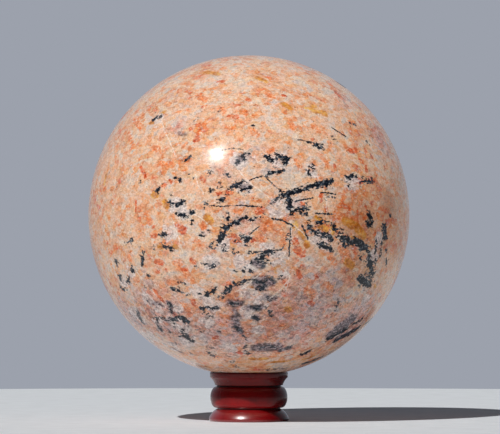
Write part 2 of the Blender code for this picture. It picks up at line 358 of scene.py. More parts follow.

# Where the ground is a richer orange; where these reach past about 0.55 the ground also gets painted
# shade, mostly along the right side
WARM_AND_SHADE_ZONES = marks(
    Zone,
    (128, 200, 70, 0.55), (190, 90, 90, 0.1), (160, 235, 50, 0.5), (265, 105, 60, 0.3),
    (255, 205, 26, 0.6), (236, 196, 22, 0.5), (340, 200, 40, 0.5), (350, 160, 46, 0.35),
    (268, 232, 30, 0.7), (206, 222, 22, 0.5), (345, 262, 30, 0.6), (240, 132, 50, 0.3),
    (388, 205, 60, 1), (360, 218, 92, 1), (376, 190, 50, 0.8), (384, 250, 50, 0.8),
)


def colour(red, green, blue):
    """A display colour of 0 to 255 as the linear values that a shader takes."""
    shares = [value / 255 for value in (red, green, blue)]
    return tuple(s / 12.92 if s <= 0.04045 else ((s + 0.055) / 1.055) ** 2.4 for s in shares)


def grey(value):
    """The same value three times, for a grey or an even vector."""
    return (value, value, value)


def swatch(name, words, *values):
    """A colour that a user may change, given as display values."""
    return FloatVectorProperty(
        name=name, description=words, subtype="COLOR", size=3, min=0, max=1, default=colour(*values)
    )


def length(name, words, value):
    """A size that a user may change, in metres."""
    return FloatProperty(name=name, description=words, default=value, unit="LENGTH", precision=5)


def amount(name, words, value, **limits):
    """Any other number that a user may change."""
    return FloatProperty(name=name, description=words, default=value, **limits)


class StoneSettings(bpy.types.PropertyGroup):
    grain: length("Grain", "Width of an average feldspar grain", 5.2 * MM)
    crumb: length("Crumb", "Width of the small grains between them", 2.3 * MM)
    crystal: length("Crystal", "Width of one dark crystal in a streak", 1.9 * MM)
    waviness: length("Waviness", "How far the hand-ground surface strays from a true ball", 0.05 * MM)
    polish: amount("Roughness", "Roughness of the polish", 0.24, min=0, max=1)
    tiles: IntProperty(
        name="Grid", description="Faces along each side of the ball's six grids", default=126
    )
    seed: IntProperty(name="Seed", description="Seed of the marks on the far side", default=11)
    cream: swatch("Cream", "Pale feldspar and grain edges", 234, 204, 180)
    peach: swatch("Peach", "The ground's own colour", 234, 184, 150)
    orange: swatch("Orange", "Orange grains", 232, 140, 84)
    ember: swatch("Ember", "Red grains", 224, 92, 42)
    rose: swatch("Rose", "Pink ground", 220, 152, 138)
    lilac: swatch("Lilac", "Grey-lilac ground", 221, 180, 174)
    frost: swatch("Frost", "Clearings round the dark crystals", 220, 205, 200)
    amber: swatch("Amber", "Yellow crystals", 222, 146, 46)
    ink: swatch("Ink", "Blue-black crystals", 16, 21, 30)
    smoke: swatch("Smoke", "Violet-grey patches", 76, 70, 86)


class StandSettings(bpy.types.PropertyGroup):
    seat: length("Seat", "Radius of the ring that the ball sits in", 27.2 * MM)
    gap: length("Gap", "Clearance between the ball and its dish", 0.3 * MM)
    rim: length("Rim", "Radius of the rim's upright lip", 27.9 * MM)
    lip: length("Lip", "Height at which the lip turns in to the flare", 31.5 * MM)
    flare_foot: length("Flare foot", "Radius where the flare meets the upper groove", 24.3 * MM)
    flare_height: length("Flare height", "Height where the flare meets the upper groove", 25.8 * MM)
    bead: length("Bead", "Radius of the bead's centre circle", 23.4 * MM)
    bead_reach: length("Bead reach", "How far the bead stands out", 4.2 * MM)
    bead_middle: length("Bead middle", "Height of the bead's widest line", 17.2 * MM)
    bead_half: length("Bead half height", "Half the bead's height", 7.55 * MM)
    upper_groove: length("Upper groove", "Radius at the upper groove's floor", 22.9 * MM)
    lower_groove: length("Lower groove", "Radius at the lower groove's floor", 22.3 * MM)
    slope_radius: length("Slope radius", "Radius at the top of the foot's slope", 23.2 * MM)
    slope_height: length("Slope height", "Height of the top of the foot's slope", 8.8 * MM)
    foot_edge: length("Foot edge", "Height of the foot's widest line", 1.6 * MM)
    foot_rounding: length("Foot rounding", "How far the foot's edge is rounded in", 0.8 * MM)
    steps: IntProperty(name="Steps", description="Faces round the stand", default=224)
    lacquer: swatch("Lacquer", "Red lacquer over the wood", 144, 4, 9)
    shade: swatch("Grain", "Dark grain lines under the lacquer", 88, 4, 6)
    worn: swatch("Worn edge", "Thin lacquer along the turned edges", 140, 16, 12)
    gloss: amount("Roughness", "Roughness of the lacquer", 0.12, min=0, max=1)


class StudioSettings(bpy.types.PropertyGroup):
    table_radius: length("Table", "Radius of the round table top", 0.879)
    key_angle: amount("Key angle", "How wide the key light looks", 0.016, unit="ROTATION")
    key_power: amount("Key power", "Watts per square metre", 3.18)
    side_power: amount("Side fill", "Watts of the side fill", 11.0)
    rear_power: amount("Rear fill", "Watts of the rear fill", 16.0)
    table: swatch("Table", "The table top", 237, 242, 247)
    wall: swatch("Wall", "What stands behind the table", 156, 161, 172)
    ambient: amount("Ambient", "Share of the wall's light that reaches the object", 0.15)


class Wire:
    """A value in a node tree, carried by a node's output. Arithmetic on it adds Math nodes."""

    def __init__(self, bench, socket):
        self.bench = bench
        self.socket = socket

    def of(self, name):
        """Another output of the same node."""
        return Wire(self.bench, self.socket.node.outputs[name])

    def math(self, operation, *values):
        """One Math node on the values."""
        inputs = dict(enumerate(values))
        return self.bench.node("ShaderNodeMath", {"operation": operation}, inputs)

    def __add__(self, other):
        return self.math("ADD", self, other)

    __radd__ = __add__

    def __sub__(self, other):
        return self.math("SUBTRACT", self, other)

    def __rsub__(self, other):
        return self.math("SUBTRACT", other, self)

    def __mul__(self, other):
        return self.math("MULTIPLY", self, other)

    __rmul__ = __mul__

    def __abs__(self):
        return self.math("ABSOLUTE", self)

    def most(self, other):
        """The greater of the two."""
        return self.math("MAXIMUM", self, other)

    def sway(self, reach):
        """A cloudy value about 0.5 as one about 0, times reach."""
        return reach * (self - 0.5)

    def lift(self, least):
        """A share of 0 to 1 as one of least to 1."""
        return least + (1 - least) * self

    def rise(self, low, high):
        """0 below low and 1 above high, with an eased rise between them."""
        settings = {"interpolation_type": "SMOOTHSTEP", "clamp": True}
        inputs = {"Value": self, "From Min": low, "From Max": high}
        return self.bench.node("ShaderNodeMapRange", settings, inputs)

    def fall(self, low, high):
        """1 below low and 0 above high, with an eased fall between them."""
        return 1.0 - self.rise(low, high)


class Bench:
    """The node tree of one material, or of the world, while it is built."""

    def __init__(self, owner):
        self.owner = owner
        self.owner.use_nodes = True
        self.tree = owner.node_tree

    def feed(self, socket, value):
        """Links a wire to a socket, or sets a plain value on it."""
        if isinstance(value, Wire):
            self.tree.links.new(value.socket, socket)
        elif socket.type == "RGBA":
            socket.default_value = (*value[:3], 1.0)
        else:
            socket.default_value = value

    def feed_all(self, name, values):
        """Gives inputs of the tree's node of that name their values or links."""
        for key, value in values.items():
            self.feed(self.tree.nodes[name].inputs[key], value)

    def node(self, kind, settings=None, inputs=None, output=0):
        """One node: its settings are made first, then its sockets get their values or links."""
        made = self.tree.nodes.new(kind)
        for key, value in (settings or {}).items():
            if key == "stops":
                self.set_stops(made.color_ramp, value)
            else:
                setattr(made, key, value)
        for key, value in (inputs or {}).items():
            self.feed(made.inputs[key], value)
        return Wire(self, made.outputs[output])

    def set_stops(self, ramp, stops):
        """Gives a ramp its stops, each a place and a colour."""
        while len(ramp.elements) < len(stops):
            ramp.elements.new(1.0)
        for element, (place, values) in zip(ramp.elements, stops):
            element.position = place
            element.color = (*values[:3], 1.0)

    def attribute(self, name):
        """A field that the mesh carries."""
        return self.node("ShaderNodeAttribute", {"attribute_name": name}, output="Fac")

    def noise(self, vector, size, detail=2.0, roughness=0.5):
        """Cloudy values about 0.5, with features about size metres wide."""
        inputs = {"Vector": vector, "Scale": 1 / size, "Detail": detail, "Roughness": roughness}
        return self.node("ShaderNodeTexNoise", {}, inputs)

    def cells(self, vector, size, feature="F1"):
        """Cells about size metres wide."""
        inputs = {"Vector": vector, "Scale": 1 / size}
        return self.node("ShaderNodeTexVoronoi", {"feature": feature}, inputs)

    def split(self, wire):
        """A colour's three values."""
        parts = self.node("ShaderNodeSeparateColor", {}, {"Color": wire})
        return parts, parts.of("Green"), parts.of("Blue")

    def mix(self, share, first, second, blend="MIX"):
        """The first colour with the second laid over it at share."""
        settings = {"data_type": "RGBA", "blend_type": blend, "clamp_factor": True}
        return self.node("ShaderNodeMix", settings, {0: share, 6: first, 7: second}, output=2)

    def ramp(self, share, *stops):
        """A colour ramp; each stop is its place and its colour."""
        return self.node("ShaderNodeValToRGB", {"stops": stops}, {"Fac": share})

    def vector(self, operation, inputs):
        """One Vector Math node."""
        return self.node("ShaderNodeVectorMath", {"operation": operation}, inputs)

    def strayed(self, vector, size, reach):
        """The vector moved by up to about reach metres, as cloudy noise of that size says."""
        cloud = self.noise(vector, size).of("Color")
        centred = self.vector("SUBTRACT", {0: cloud, 1: grey(0.5)})
        scaled = self.vector("SCALE", {0: centred, "Scale": 4 * reach})
        return self.vector("ADD", {0: vector, 1: scaled})

    def bump(self, strength, distance, height):
        """A normal tilted as a relief of the height, distance metres deep, would tilt it."""
        inputs = {"Strength": strength, "Distance": distance, "Height": height}
        return self.node("ShaderNodeBump", {}, inputs)


def camera_turn():
    """The camera's place, focal length in picture points and turn.

    They put the ball's outline where it is: a ball of radius r at distance d looks
    2 f tan(asin(r / d)) wide at focal length f."""
    place = Vector((0.0, -CAMERA_DISTANCE, CAMERA_HEIGHT))
    sight = BALL_CENTRE - place
    focal = OUTLINE_RADIUS / math.tan(math.asin(BALL_RADIUS / sight.length))
    pitch = math.atan2(sight.z, sight.y) - math.atan((PICTURE_HEIGHT / 2 - OUTLINE_Y) / focal)
    yaw = math.atan((OUTLINE_X - PICTURE_WIDTH / 2) / focal)
    return place, focal, Euler((math.pi / 2 + pitch, 0.0, yaw))


def unit(rows):
    """Each row made a unit long."""
    return rows / np.linalg.norm(rows, axis=-1, keepdims=True)


def on_ball(points):
    """Unit directions from the ball's centre to where the camera's rays through picture points meet it.

    A ray from the camera place p along d meets the ball where |p + t d - c| is its radius;
    a ray that passes the ball takes its nearest point to it."""
    place, focal, turn = camera_turn()
    points = np.asarray(points, float)
    across = points[:, 0] - PICTURE_WIDTH / 2
    up = PICTURE_HEIGHT / 2 - points[:, 1]
    local = np.column_stack([across, up, np.full(len(points), -focal)])
    rays = unit(local @ np.array(turn.to_matrix()).T)
    offset = np.array(place - BALL_CENTRE)
    along = rays @ offset
    inside = np.maximum(along**2 - offset @ offset + BALL_RADIUS**2, 0)
    return unit(offset + (-along - np.sqrt(inside))[:, None] * rays)


Arcs = namedtuple("Arcs", "starts ends halves")


def arcs_of(near):
    """Strokes and spots as arcs on the ball, with half widths in metres.

    A mark's width is its last value, with its far end before it. A spot's far end is its place."""
    starts = on_ball([mark[:2] for mark in near])
    ends = on_ball([mark[-3:-1] for mark in near])
    return Arcs(starts, ends, np.array([mark.width * POINT / 2 for mark in near]))


def joined(*groups):
    """Groups of arcs as one."""
    return Arcs(*(np.concatenate(parts) for parts in zip(*groups)))


def nearest(directions, arcs, reach=12 * MM):
    """For each direction, the distance past the nearest arc's edge, the offset across it and its half.

    With n the unit normal of the plane through an arc's two ends, a point p of the unit
    ball lies asin(p.n) to its side; the angle along the arc is held between its ends, and
    the point there is the foot of the distance. A half is half a width, in metres.
    Distances over reach are left at reach."""
    edge = np.full(len(directions), reach)
    across = np.full(len(directions), reach)
    half = np.zeros(len(directions))
    for start, end, width in zip(*arcs):
        normal = np.cross(start, end)
        span = math.atan2(np.linalg.norm(normal), float(start @ end))
        if span < 1e-6:  # a spot: any plane through it will do
            normal = np.cross(start, (0.3, 0.2, 0.9))
        normal = unit(normal)
        forward = np.cross(normal, start)
        around = min(span / 2 + (reach + width) / BALL_RADIUS, math.pi)
        near = directions @ unit(start + end) > math.cos(around)
        p = directions[near]
        angle = np.clip(np.arctan2(p @ forward, p @ start), 0, span)
        foot = np.cos(angle)[:, None] * start + np.sin(angle)[:, None] * forward
        past = BALL_RADIUS * np.linalg.norm(p - foot, axis=1) - width
        closer = past < edge[near]
        taken = np.flatnonzero(near)[closer]
        edge[taken] = past[closer]
        across[taken] = BALL_RADIUS * np.arcsin(np.clip(p[closer] @ normal, -1, 1))
        half[taken] = width
    return edge, across, half


def zone_field(directions, zones):
    """The zones as soft round clouds: the greatest strength * exp(-(angle / half width)^2)."""
    centres = on_ball([(z.x, z.y) for z in zones])
    total = np.zeros(len(directions))
    for centre, zone in zip(centres, zones):
        half = zone.width * POINT / 2 / BALL_RADIUS
        angle = np.arccos(np.clip(directions @ centre, -1, 1))
        total = np.maximum(total, zone.strength * np.exp(-((angle / half) ** 2)))
    return total


def far_side_marks(seed):
    """Seeded marks for what the camera doesn't see, as strokes that run about level.

    A stroke of length l at angle a to the level has its ends at
    middle -+ l / 2 (cos(a) level + sin(a) upward), laid back on the unit ball."""
    rng = np.random.default_rng(seed)
    place, _, _ = camera_turn()
    towards = np.array((place - BALL_CENTRE).normalized())

    def somewhere(count):
        """Even random directions, those past the horizon from the camera."""
        found = unit(rng.normal(size=(count * 3, 3)))
        return found[found @ towards < HORIZON][:count]

    def strokes(centres, per_cluster, scatter, lengths, widths, tilt):
        """Some strokes about each centre: how many, their scatter, lengths and widths in
        millimetres, and how far their angles stray from their cluster's, in radians."""
        starts, ends, halves = [], [], []
        for centre in centres:
            level = unit(np.cross(LEVEL_AXIS, centre))
            upward = np.cross(centre, level)
            lean = rng.normal(*LEAN)
            for _ in range(rng.integers(*per_cluster)):
                angle = lean + rng.normal(0, tilt)
                shift = rng.normal(0, scatter * MM, 2) / BALL_RADIUS
                middle = centre + shift[0] * level + CLUSTER_FLATNESS * shift[1] * upward
                half_run = rng.uniform(*lengths) * MM / 2 / BALL_RADIUS
                run = (math.cos(angle) * level + math.sin(angle) * upward) * half_run
                starts.append(middle - run)
                ends.append(middle + run)
                halves.append(rng.uniform(*widths) * MM / 2)
        return Arcs(unit(np.array(starts)), unit(np.array(ends)), np.array(halves))

    clusters = somewhere(30)
    return {
        "streak": joined(
            strokes(clusters, (3, 9), 6, (2, 9), (1.6, 4.2), 0.4),
            strokes(somewhere(60), (1, 3), 4, (1, 4), (1.2, 2.6), 0.8),
        ),
        "needle": strokes(somewhere(26), (1, 3), 5, (6, 16), (0.7, 1.3), 0.5),
        "smoke": strokes(clusters[:14], (1, 3), 7, (4, 14), (4, 8), 0.3),
        "clearing": strokes(clusters, (2, 5), 6, (4, 9), (7, 11), 0.5),
        "glow": strokes(somewhere(170), (1, 3), 9, (0.5, 6), (3.6, 7.0), 1.2),
        "ember": strokes(somewhere(120), (1, 3), 9, (0.5, 5), (2.4, 5.6), 1.2),
        "amber": strokes(somewhere(30), (1, 3), 8, (1, 6), (2.4, 4.6), 0.7),
        "crack": strokes(somewhere(24), (1, 3), 7, (9, 24), (0.7, 1.1), 0.9),
    }


def ball_grid(tiles):
    """Directions, quads and bake UVs of a ball made of six square grids.

    On each side of a cube, grid angles a and b of -45 to 45 degrees give the direction
    side + tan(a) right + tan(b) up, made a unit long, so that the squares are nearly even."""
    sides = [
        ((0, -1, 0), (1, 0, 0)),
        ((1, 0, 0), (0, 1, 0)),
        ((0, 1, 0), (-1, 0, 0)),
        ((-1, 0, 0), (0, -1, 0)),
        ((0, 0, 1), (1, 0, 0)),
        ((0, 0, -1), (1, 0, 0)),
    ]
    tangent = np.tan(np.linspace(-math.pi / 4, math.pi / 4, tiles + 1))
    right_share, up_share = np.meshgrid(tangent, tangent)
    corner = np.arange(tiles * (tiles + 1)).reshape(tiles, tiles + 1)[:, :tiles].ravel()
    quad = np.column_stack([corner, corner + 1, corner + tiles + 2, corner + tiles + 1])
    place = np.linspace(BAKE_MARGIN, 1 - BAKE_MARGIN, tiles + 1)
    u, v = np.meshgrid(place, place)
    points, quads, maps = [], [], []
    for index, (side, right) in enumerate(sides):
        up = np.cross(side, right)
        grid = side + right_share[..., None] * right + up_share[..., None] * up
        points.append(grid.reshape(-1, 3))
        quads.append(quad + index * (tiles + 1) ** 2)
        row, column = divmod(index, 3)
        maps.append(np.column_stack([(column + u.ravel()) / 3, (row + v.ravel()) / 2]))
    points = unit(np.concatenate(points))
    quads = np.concatenate(quads)
    maps = np.concatenate(maps)[quads]
    places = np.round(points / MERGE_REACH)
    _, first, whole = np.unique(places, axis=0, return_index=True, return_inverse=True)
    return points[first], whole.reshape(-1)[quads], maps.reshape(-1, 2)


def mesh_object(name, points, faces, maps=None):
    """A smooth-shaded object from an array of points and lists of faces, and its bake UVs if any."""
    mesh = bpy.data.meshes.new(name)
    mesh.from_pydata(points.tolist(), [], faces)
    if maps is not None:
        layer = mesh.uv_layers.new(name="OFBake")
        layer.data.foreach_set("uv", maps.astype(np.float32).ravel())
    mesh.shade_smooth()
    mesh.update()
    made = bpy.data.objects.new(name, mesh)
    bpy.context.scene.collection.objects.link(made)
    return made


def set_attribute(made, name, values):
    """Gives the mesh a field, one value to a point."""
    layer = made.data.attributes.new(name, "FLOAT", "POINT")
    layer.data.foreach_set("value", values.astype(np.float32))


def ball_fields(directions, seed):
    """Every mark's field over the ball, by attribute name.

    Most are distances in metres past a mark's edge. Thin marks also have the offset across
    them and their half width. The clearings are 1 inside and ease away as
    exp(-(distance / softness)^2). Hidden rises from 0 in front to 1 behind, and there the
    ground is rosier towards the bottom."""
    cracks = [
        Stroke(*first, *second, CRACK_WIDTH)
        for line in CRACKS
        for first, second in zip(line, line[1:])
    ]
    near = {
        "streak": STREAKS + SPECKS,
        "needle": NEEDLES,
        "crack": cracks,
        "smoke": SMOKE,
        "clearing": CLEARINGS,
        "glow": GLOWS,
        "ember": EMBERS,
        "amber": AMBERS,
    }
    far = far_side_marks(seed)
    fields = {}
    for name, found in near.items():
        edge, across, half = nearest(directions, joined(arcs_of(found), far[name]))
        fields[name] = edge
        if name in ("needle", "crack"):
            fields[name + "_across"] = across
            fields[name + "_half"] = half
    past = np.maximum(fields["clearing"], 0)
    fields["clearing"] = np.exp(-((past / CLEARING_SOFTNESS) ** 2))
    low = np.clip(-directions[:, 2], 0, 1)
    hidden = 1 / (1 + np.exp(-HIDDEN_EASE * (directions[:, 1] + HIDDEN_START)))
    clouds = zone_field(directions, ROSE_ZONES)
    fields["rose"] = np.maximum(clouds, hidden * (0.25 + 0.65 * low))
    # The warm field also places the painted shade on the ball's right side
    fields["warm"] = zone_field(directions, WARM_AND_SHADE_ZONES) + 0.25 * hidden
    return fields


Tones = namedtuple("Tones", "tone light other")


class StoneBench(Bench):
    """The stone's material: the clouds and cells that its layers share, and a method for each layer."""

    def __init__(self, settings):
        super().__init__(bpy.data.materials.new("polished_sunstone"))
        self.settings = settings
        self.place = self.node("ShaderNodeTexCoord", output="Object")
        tilt = (0.0, math.radians(18), 0.0)
        inputs = {"Vector": self.place, "Rotation": tilt, "Scale": (1.0, 1.0, 1.35)}
        self.laid = self.node("ShaderNodeMapping", {}, inputs)
        near = self.strayed(self.laid, 3.4 * MM, 1.1 * MM)
        self.grain = self.tones(near, settings.grain)
        self.crumb = self.tones(self.strayed(self.laid, 1.8 * MM, 0.6 * MM), settings.crumb)
        self.chip = self.tones(self.strayed(self.laid, 1.5 * MM, 0.35 * MM), 1.35 * MM)
        self.seam = self.cells(near, settings.grain, "DISTANCE_TO_EDGE")
        self.cloud = self.noise(self.place, 24 * MM, 3.0)
        self.haze = self.noise(self.laid, 6 * MM, 3.0, 0.5)
        self.mottle = self.noise(self.laid, 2.6 * MM, 3.0, 0.65)
        self.dust = self.noise(self.place, 0.9 * MM, 3.0, 0.7)
        self.rose = self.attribute("rose")
        self.warm = self.attribute("warm")
        rose = self.rose + self.haze.sway(0.6) + self.grain.light.sway(0.3)
        self.rose_share = rose.rise(0.05, 0.8)
        self.seam_share = self.seam.fall(0.0, 0.10) * self.haze.rise(0.40, 0.60)

    def tones(self, vector, size):
        """Three separate random values of each cell."""
        return Tones(*self.split(self.cells(vector, size).of("Color")))

    def laid_over(self, stone, edge, soft, cover, over):
        """The colour over, laid on the stone at cover where the distance edge is below soft.

        Soft is where that begins and ends, in millimetres."""
        return self.mix(edge.fall(soft[0] * MM, soft[1] * MM) * cover, stone, over)

    def ground(self):
        """Close grains in two palettes, warm and rose, with a tint of each grain's own."""
        settings = self.settings
        tone = 0.58 * self.grain.tone + 0.30 * self.crumb.tone + 0.9 * self.haze
        tone = tone + 0.9 * self.cloud + 0.3 * self.mottle
        tone = tone + 0.2 * self.warm - 0.08 * self.rose - 1.10
        warm_ground = self.ramp(
            tone,
            (0.00, colour(214, 200, 190)),
            (0.18, settings.cream),
            (0.38, settings.peach),
            (0.54, colour(234, 176, 136)),
            (0.74, settings.orange),
            (0.96, settings.ember),
        )
        rose_ground = self.ramp(
            tone,
            (0.00, colour(188, 168, 172)),
            (0.22, settings.lilac),
            (0.42, settings.rose),
            (0.62, colour(212, 140, 122)),
            (0.84, colour(212, 116, 84)),
            (1.00, colour(176, 72, 50)),
        )
        tint = self.ramp(
            self.grain.other,
            (0.00, colour(216, 164, 156)),
            (0.25, colour(238, 208, 182)),
            (0.50, colour(228, 178, 112)),
            (0.75, colour(238, 156, 112)),
            (1.00, colour(206, 198, 194)),
        )
        stone = self.mix(self.rose_share, warm_ground, rose_ground)
        return self.mix(0.12 + 0.4 * self.crumb.light * self.mottle.rise(0.35, 0.65), stone, tint)

    def orange_crystals(self, stone):
        """Light orange and red crystals, with ragged edges."""
        settings = self.settings
        glow = self.ramp(
            self.mottle,
            (0.32, colour(206, 96, 46)),
            (0.48, colour(238, 136, 80)),
            (0.66, colour(246, 182, 136)),
        )
        edge = self.attribute("glow") + self.haze.sway(2.6 * MM) + self.crumb.other.sway(1.4 * MM)
        stone = self.laid_over(stone, edge, (-0.7, 0.5), self.crumb.light.lift(0.6), glow)
        ember = self.ramp(
            self.mottle,
            (0.34, colour(176, 58, 26)),
            (0.50, settings.ember),
            (0.66, colour(244, 146, 88)),
        )
        edge = self.attribute("ember") + self.haze.sway(2.4 * MM) + self.crumb.other.sway(1.2 * MM)
        return self.laid_over(stone, edge, (-0.6, 0.4), self.crumb.light.lift(0.66), ember)

    def seams(self, stone):
        """Pale and brown lines between the grains, and pale flecks."""
        line = self.ramp(self.cloud, (0.45, self.settings.cream), (0.55, colour(176, 122, 88)))
        stone = self.mix(self.seam_share * 0.5, stone, line)
        fleck = self.mottle.rise(0.54, 0.62) * self.chip.light.rise(0.4, 0.8)
        return self.mix(fleck * 0.45, stone, colour(246, 228, 212))

    def ambers(self, stone):
        """Yellow crystals, with edges that the haze frays."""
        amber = self.ramp(
            self.haze,
            (0.36, colour(184, 108, 28)),
            (0.50, self.settings.amber),
            (0.64, colour(242, 192, 98)),
        )
        edge = self.attribute("amber") + self.haze.sway(5.0 * MM) + self.crumb.light.sway(0.8 * MM)
        return self.laid_over(stone, edge, (-0.3, 1.3), self.chip.light.lift(0.62), amber)

    def clearings(self, stone):
        """Pale grey-white feldspar, where the field and the clouds together are high."""
        frost = self.ramp(
            self.chip.tone,
            (0.00, colour(160, 154, 158)),
            (0.30, self.settings.frost),
            (1.00, colour(246, 234, 228)),
        )
        share = self.attribute("clearing") + self.haze.sway(3.2) + self.mottle.sway(1.4)
        share = share + self.crumb.light.sway(0.3)
        return self.mix(share.rise(0.3, 1.15) * 0.78, stone, frost)

    def smoke(self, stone):
        """Soft violet-grey patches, darker and paler with the mottle."""
        smoke = self.ramp(
            self.mottle + self.chip.light.sway(0.16),
            (0.40, colour(22, 25, 36)),
            (0.49, self.settings.smoke),
            (0.60, colour(170, 152, 156)),
        )
        edge = self.attribute("smoke") + self.haze.sway(4.0 * MM) + self.mottle.sway(2.6 * MM)
        return self.laid_over(stone, edge, (-1.6, 1.5), 0.88, smoke)

    def cracks(self, stone):
        """Pale lines along the middle of the crack strokes, broken by the mottle."""
        across = abs(self.attribute("crack_across") + self.haze.sway(2.6 * MM))
        line = (across - self.attribute("crack_half")).fall(-0.25 * MM, 0.25 * MM)
        end = self.attribute("crack").fall(1.0 * MM, 1.5 * MM)
        share = line * end * self.mottle.rise(0.36, 0.5)
        return self.mix(share * 0.7, stone, colour(246, 230, 216))

    def ink_share(self, streak_edge, crystal):
        """How far dark crystals cover each place: streaks, needles and strays beside the streaks."""
        grit = self.noise(self.place, 1.5 * MM, 2.0, 0.6)
        across = abs(self.attribute("needle_across") + self.haze.sway(1.4 * MM))
        needle = across - self.attribute("needle_half") + 2.3 * MM * (grit - 0.46)
        end = self.attribute("needle").fall(0.8 * MM, 1.4 * MM)
        strays = crystal.other.rise(0.9, 0.92) * streak_edge.fall(0.8 * MM, 3.0 * MM)
        streaks = streak_edge.fall(-0.15 * MM, 0.12 * MM)
        return streaks.most(needle.fall(-0.15 * MM, 0.2 * MM) * end).most(strays)

    def dark_crystals(self, stone):
        """Blue-black crystals with a grey halo. Also gives how far they cover each place."""
        strayed = self.strayed(self.laid, 1.8 * MM, 0.5 * MM)
        crystal = self.tones(strayed, self.settings.crystal)
        ragged = crystal.tone.sway(2.2 * MM) + self.mottle.sway(2.2 * MM)
        ragged = ragged + self.chip.tone.sway(0.9 * MM) + self.haze.sway(3.2 * MM)
        streak_edge = self.attribute("streak") + ragged
        halo = streak_edge.fall(0.0, 1.4 * MM) * self.chip.light.rise(0.3, 0.9)
        stone = self.mix(halo * 0.5, stone, colour(118, 124, 130))
        share = self.ink_share(streak_edge, crystal)
        ink = self.ramp(
            self.chip.other,
            (0.00, self.settings.ink),
            (0.50, colour(22, 28, 38)),
            (0.76, colour(40, 48, 60)),
            (0.90, colour(86, 92, 100)),
            (1.00, colour(150, 146, 142)),
        )
        return self.mix(share, stone, ink), share

    def specks(self, stone):
        """Fine dark specks, more of them in the rose ground."""
        speck = self.cells(self.strayed(self.place, 3.0 * MM, 1.0 * MM), 4.6 * MM)
        pick, _, _ = self.split(speck.of("Color"))
        share = speck.fall(0.07, 0.12) * (pick + 0.3 * self.rose_share).rise(0.74, 0.75)
        return self.mix(share * 0.85, stone, colour(48, 46, 52))

    def shades(self, stone):
        """Light and dark of single grains, and painted shade that makes the ground browner and darker
        on the right.
        """
        grime = self.ramp(self.dust, (0.34, (0.52, 0.49, 0.47)), (0.47, grey(0.95)), (0.64, grey(1.1)))
        stone = self.mix(self.rose_share.lift(0.6), stone, grime, "MULTIPLY")
        facet = self.ramp(
            self.chip.other, (0.0, (0.74, 0.72, 0.7)), (0.4, grey(0.98)), (1.0, grey(1.08))
        )
        stone = self.mix(0.75, stone, facet, "MULTIPLY")
        depth = self.ramp(
            self.crumb.other, (0.0, (0.48, 0.44, 0.45)), (0.36, grey(0.94)), (1.0, grey(1.2))
        )
        stone = self.mix(0.25 + 0.6 * self.rose_share, stone, depth, "MULTIPLY")
        # Painted shade: browner and darker where the warm field is high, mostly on the right side
        return self.mix(self.warm.rise(0.55, 1.0) * 0.7, stone, (0.70, 0.50, 0.38), "MULTIPLY")


def stone_material(settings):
    """The stone: its ground, with the marks laid over it as the ball's fields say."""
    bench = StoneBench(settings)
    stone = bench.ground()
    for layer in (
        bench.orange_crystals,
        bench.seams,
        bench.ambers,
        bench.clearings,
        bench.smoke,
        bench.cracks,
    ):
        stone = layer(stone)
    stone, ink_share = bench.dark_crystals(stone)
    stone = bench.shades(bench.specks(stone))
    height = 0.5 * bench.dust + 0.5 * bench.seam.rise(0.0, 0.08)
    surface = {
        "Base Color": stone,
        "Roughness": settings.polish + 0.10 * bench.seam_share + 0.06 * ink_share,
        "IOR": 1.54,
        "Specular IOR Level": 0.15,
        "Coat Weight": 0.3,
        "Coat Roughness": 0.11,
        "Normal": bench.bump(0.04, 0.05 * MM, height),
    }
    bench.feed_all("Principled BSDF", surface)
    return bench.owner


def swell(directions):
    """Slow waves over the ball, from -2 to 0, so that no place stands out past its radius:

    (sin(9x + 4z) cos(7y + 1) + sin(11z - 5y + 2) cos(6x)) / 2 - 1"""
    x, y, z = directions.T
    waves = np.sin(9 * x + 4 * z) * np.cos(7 * y + 1) + np.sin(11 * z - 5 * y + 2) * np.cos(6 * x)
    return waves / 2 - 1


class SUNSTONE_OT_ball(bpy.types.Operator):
    """Make the stone ball, in one piece, with its marks as fields on its surface"""

    bl_idname = "sunstone.ball"
    bl_label = "Make the Ball"

    def execute(self, context):
        settings = context.scene.sunstone_stone
        directions, quads, maps = ball_grid(settings.tiles)
        radii = BALL_RADIUS + settings.waviness * swell(directions)
        points = np.array(BALL_CENTRE) + directions * radii[:, None]
        ball = mesh_object("sunstone", points, quads.tolist(), maps)
        for name, values in ball_fields(directions, settings.seed).items():
            set_attribute(ball, name, values)
        ball.data.materials.append(stone_material(settings))
        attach(ball, "root")
        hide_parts("sunstone_ball")
        return {"FINISHED"}


def arc(centre, reach, start, end, steps):
    """Rows of (r, z) on an ellipse about centre, between angles in degrees from +r towards +z."""
    angles = np.radians(np.linspace(start, end, steps + 1))
    rows = np.column_stack([reach[0] * np.cos(angles), reach[1] * np.sin(angles)])
    return np.array(centre) + rows


def bowed(start, end, rise, steps):
    """Rows of (r, z) from start to end on a parabola that stands out by rise halfway."""
    start, end = np.array(start), np.array(end)
    t = np.linspace(0, 1, steps + 1)[:, None]
    run = end - start
    out = np.array([-run[1], run[0]]) / np.hypot(*run)
    return start + run * t + out * (4 * rise * t * (1 - t))


